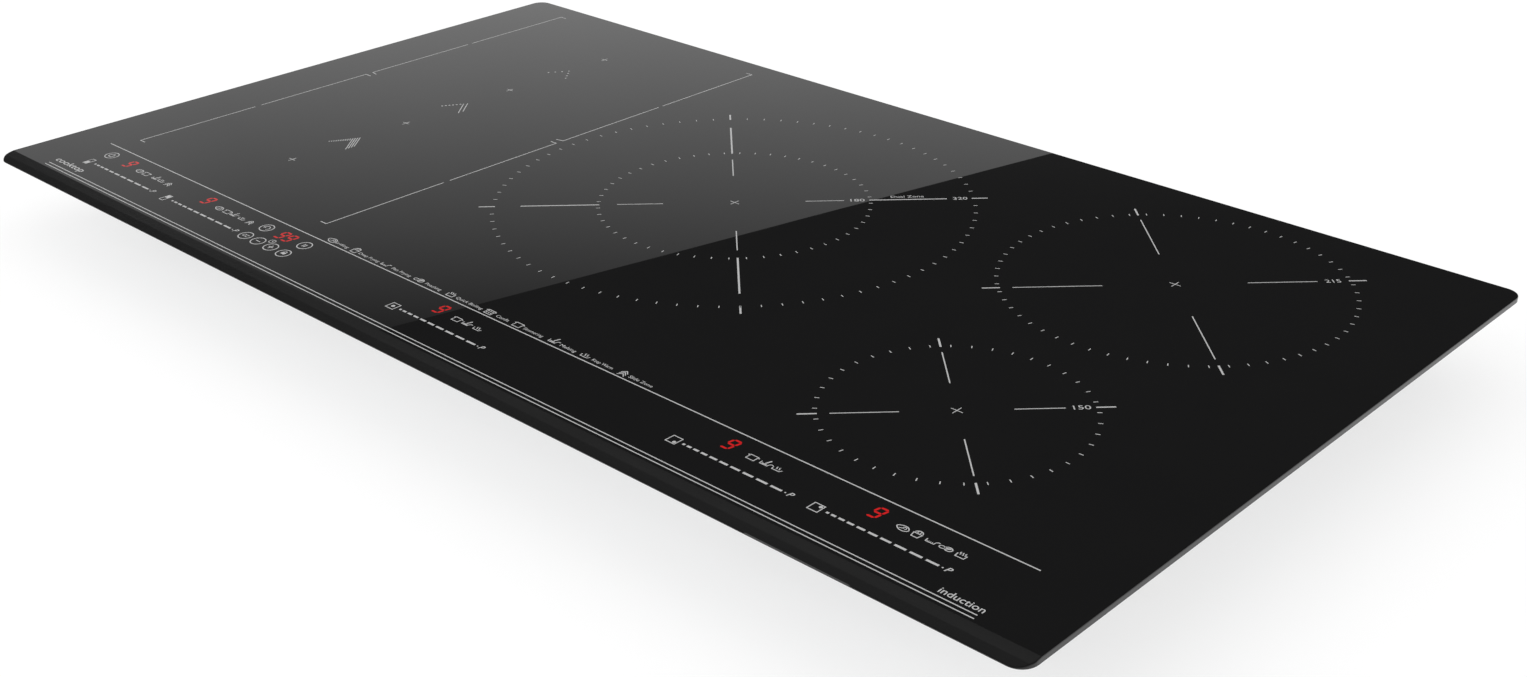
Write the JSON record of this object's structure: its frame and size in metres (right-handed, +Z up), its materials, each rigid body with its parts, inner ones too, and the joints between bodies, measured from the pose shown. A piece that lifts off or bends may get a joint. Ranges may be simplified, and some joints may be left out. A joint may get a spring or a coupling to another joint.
{
  "type": "built-in induction cooktop",
  "caption": "Wide black glass induction cooktop with a ground front edge, printed cooking zones and touch sliders, over a stepped steel casing with fans, coils and worktop clamps.",
  "frame": {"origin": "centre of the outline, at the underside of the casing", "axes": "+Z up through the glass, +X right along the front edge, +Y from front to back"},
  "size_m": [0.9, 0.51, 0.056],
  "materials": {
    "black_glass": "polished glass-ceramic, black, opaque from outside",
    "foam_seal": "closed-cell foam, matt",
    "zinc_sheet": "zinc-coated sheet, satin",
    "bright_screws": "zinc-plated, bright",
    "clamp_steel": "zinc-plated strip",
    "spring_steel": "spring steel, bright",
    "motor_steel": "laminated steel can",
    "coil_plate": "rolled aluminium sheet, satin",
    "heat_sink": "extruded aluminium, plain",
    "ferrite": "pressed ferrite, matt grey-black",
    "ceramic_sensor": "unglazed white ceramic",
    "fibre_sheet": "ceramic-fibre board, matt off-white",
    "carrier_plastic": "heat-proof moulded plastic, cream",
    "copper_strand": "lacquered copper strand, satin",
    "choke_winding": "enamelled copper wire on a ring core",
    "circuit_board": "glass-fibre circuit board, green lacquer",
    "black_epoxy": "moulded epoxy, matt",
    "capacitor_case": "potted plastic case, blue",
    "film_case": "potted plastic case, yellow",
    "nylon": "natural nylon",
    "black_plastic": "flame-proof moulded plastic, black",
    "fan_plastic": "moulded plastic, dark grey",
    "display_case": "white reflector plastic",
    "ribbon_jacket": "flat cable, grey jacket",
    "brass_screw": "plated brass",
    "gland_rubber": "moulded rubber, black"
  },
  "bodies": {
    "hob": {"glass_top": "black_glass", "edge_gasket": "foam_seal", "glass_frame": "zinc_sheet", "base_pan": "zinc_sheet", "casing_screws": "bright_screws", "slide_coil_plate": "coil_plate", "slide_ferrites": "ferrite", "slide_coil_carriers": "carrier_plastic", "slide_coil_windings": "copper_strand", "dual_coil_plate": "coil_plate", "dual_ferrites": "ferrite", "dual_coil_carrier": "carrier_plastic", "dual_inner_winding": "copper_strand", "dual_outer_winding": "copper_strand", "right_coil_plate": "coil_plate", "right_ferrites": "ferrite", "rear_right_carrier": "carrier_plastic", "front_right_carrier": "carrier_plastic", "rear_right_winding": "copper_strand", "front_right_winding": "copper_strand", "insulation_sheets": "fibre_sheet", "coil_sensors": "ceramic_sensor", "coil_plate_springs": "spring_steel", "coil_plate_posts": "carrier_plastic", "power_boards": "circuit_board", "heat_sinks": "heat_sink", "power_semiconductors": "black_epoxy", "resonance_capacitors": "capacitor_case", "filter_board": "circuit_board", "filter_chokes": "choke_winding", "filter_capacitors": "film_case", "relays": "black_epoxy", "board_feet": "nylon", "fan_housings": "black_plastic", "fan_motors": "motor_steel", "air_ducts": "black_plastic", "control_carrier": "carrier_plastic", "control_board": "circuit_board", "display_modules": "display_case", "touch_springs": "spring_steel", "control_springs": "spring_steel", "ribbon_cable": "ribbon_jacket", "terminal_box": "black_plastic", "terminal_block": "nylon", "terminal_screws": "brass_screw", "cable_gland": "gland_rubber", "cable_clamp": "nylon", "clamp_ears": "zinc_sheet", "clamp_pins": "bright_screws"},
    "left_fan_rotor": {"left_fan_impeller": "fan_plastic"},
    "right_fan_rotor": {"right_fan_impeller": "fan_plastic"},
    "terminal_lid": {"terminal_cover": "black_plastic"},
    "clamp_arm_front_left": {"clamp_front_left": "clamp_steel"},
    "clamp_bolt_front_left": {"clamp_screw_front_left": "bright_screws"},
    "clamp_arm_front_right": {"clamp_front_right": "clamp_steel"},
    "clamp_bolt_front_right": {"clamp_screw_front_right": "bright_screws"},
    "clamp_arm_rear_left": {"clamp_rear_left": "clamp_steel"},
    "clamp_bolt_rear_left": {"clamp_screw_rear_left": "bright_screws"},
    "clamp_arm_rear_right": {"clamp_rear_right": "clamp_steel"},
    "clamp_bolt_rear_right": {"clamp_screw_rear_right": "bright_screws"}
  },
  "joints": [
    {"name": "left_fan_spin", "type": "hinge", "parent": "hob", "child": "left_fan_rotor", "pos_m": [-0.287, 0.135, 0.015], "axis": [0, 0, 1], "continuous": true},
    {"name": "right_fan_spin", "type": "hinge", "parent": "hob", "child": "right_fan_rotor", "pos_m": [0.287, 0.135, 0.015], "axis": [0, 0, 1], "continuous": true},
    {"name": "terminal_cover_hinge", "type": "hinge", "parent": "hob", "child": "terminal_lid", "pos_m": [0.085, 0.2396, 0.0318], "axis": [1, 0, 0], "range_deg": [0, 95]},
    {"name": "clamp_swing_front_left", "type": "hinge", "parent": "hob", "child": "clamp_arm_front_left", "pos_m": [-0.412, -0.12, 0.0213], "axis": [0, 0, 1], "range_deg": [0, 90]},
    {"name": "clamp_screw_travel_front_left", "type": "slide", "parent": "clamp_arm_front_left", "child": "clamp_bolt_front_left", "axis": [0, 0, 1], "range_m": [0, 0.009]},
    {"name": "clamp_swing_front_right", "type": "hinge", "parent": "hob", "child": "clamp_arm_front_right", "pos_m": [0.412, -0.12, 0.0213], "axis": [0, 0, -1], "range_deg": [0, 90]},
    {"name": "clamp_screw_travel_front_right", "type": "slide", "parent": "clamp_arm_front_right", "child": "clamp_bolt_front_right", "axis": [0, 0, 1], "range_m": [0, 0.009]},
    {"name": "clamp_swing_rear_left", "type": "hinge", "parent": "hob", "child": "clamp_arm_rear_left", "pos_m": [-0.412, 0.12, 0.0213], "axis": [0, 0, 1], "range_deg": [0, 90]},
    {"name": "clamp_screw_travel_rear_left", "type": "slide", "parent": "clamp_arm_rear_left", "child": "clamp_bolt_rear_left", "axis": [0, 0, 1], "range_m": [0, 0.009]},
    {"name": "clamp_swing_rear_right", "type": "hinge", "parent": "hob", "child": "clamp_arm_rear_right", "pos_m": [0.412, 0.12, 0.0213], "axis": [0, 0, -1], "range_deg": [0, 90]},
    {"name": "clamp_screw_travel_rear_right", "type": "slide", "parent": "clamp_arm_rear_right", "child": "clamp_bolt_rear_right", "axis": [0, 0, 1], "range_m": [0, 0.009]}
  ]
}
